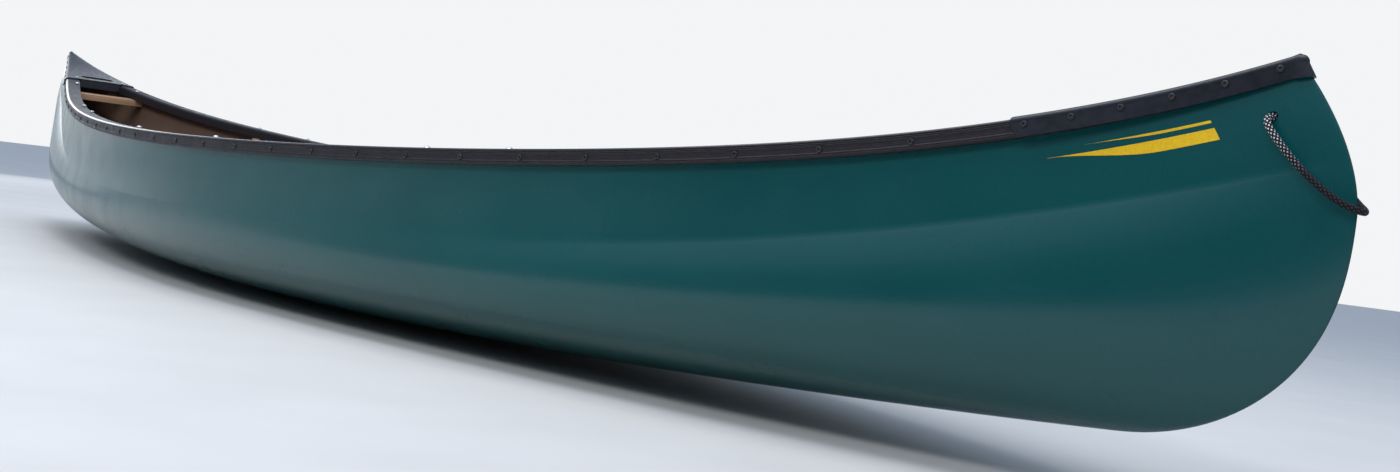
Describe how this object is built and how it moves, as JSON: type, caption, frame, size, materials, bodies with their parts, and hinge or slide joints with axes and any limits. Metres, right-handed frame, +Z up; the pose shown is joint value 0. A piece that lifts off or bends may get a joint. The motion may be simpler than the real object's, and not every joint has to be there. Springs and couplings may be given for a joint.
{
  "type": "canoe",
  "caption": "Open two-person canoe with upswept ends, moulded hull, black gunwales and deck plates, woven seats, yoke, thwart, end handles and a rope loop at the bow.",
  "frame": {"origin": "on the floor plane under the middle of the hull, where the keel is lowest", "axes": "+X along the canoe towards the bow (the end with the rope loop), +Y to port, +Z up"},
  "size_m": [5.0142, 0.9524, 0.5818],
  "materials": {
    "hull_green": "gloss dark teal green vinyl skin",
    "hull_inside": "satin tan brown vinyl lining",
    "gunwale_vinyl": "satin black extruded vinyl",
    "deck_plastic": "semi-gloss black moulded plastic",
    "core_alloy": "plain extruded",
    "dark_rivet": "black painted aluminium",
    "steel": "plain stainless",
    "ash_wood": "clear varnish",
    "seat_web": "woven polyester webbing",
    "rope": "braided black with pale flecks",
    "stripe": "plain yellow decal stripe"
  },
  "bodies": {
    "root": {"hull": "hull_green", "gunwale_port": "gunwale_vinyl", "gunwale_starboard": "gunwale_vinyl", "gunwale_core_port": "core_alloy", "gunwale_core_starboard": "core_alloy", "gunwale_rivets_port": "dark_rivet", "gunwale_rivets_starboard": "dark_rivet", "deck_plate_bow": "deck_plastic", "deck_plate_stern": "deck_plastic", "deck_rivets_bow": "dark_rivet", "deck_rivets_stern": "dark_rivet", "deck_screws_bow": "steel", "deck_screws_stern": "steel", "bow_seat_front_rail": "ash_wood", "bow_seat_rear_rail": "ash_wood", "bow_seat_side_port": "ash_wood", "bow_seat_side_starboard": "ash_wood", "bow_seat_webbing": "seat_web", "bow_seat_spacers": "ash_wood", "bow_seat_bolts": "steel", "bow_seat_washers": "steel", "bow_seat_nuts": "steel", "stern_seat_front_rail": "ash_wood", "stern_seat_rear_rail": "ash_wood", "stern_seat_side_port": "ash_wood", "stern_seat_side_starboard": "ash_wood", "stern_seat_webbing": "seat_web", "stern_seat_spacers": "ash_wood", "stern_seat_bolts": "steel", "stern_seat_washers": "steel", "stern_seat_nuts": "steel", "yoke": "ash_wood", "yoke_bolts": "steel", "yoke_washers": "steel", "yoke_nuts": "steel", "thwart": "ash_wood", "thwart_bolts": "steel", "thwart_washers": "steel", "thwart_nuts": "steel", "handle_bow": "ash_wood", "handle_bow_bolts": "steel", "handle_bow_washers": "steel", "handle_bow_nuts": "steel", "handle_stern": "ash_wood", "handle_stern_bolts": "steel", "handle_stern_washers": "steel", "handle_stern_nuts": "steel", "bow_rope": "rope", "bow_rope_knot": "rope"}
  },
  "joints": []
}
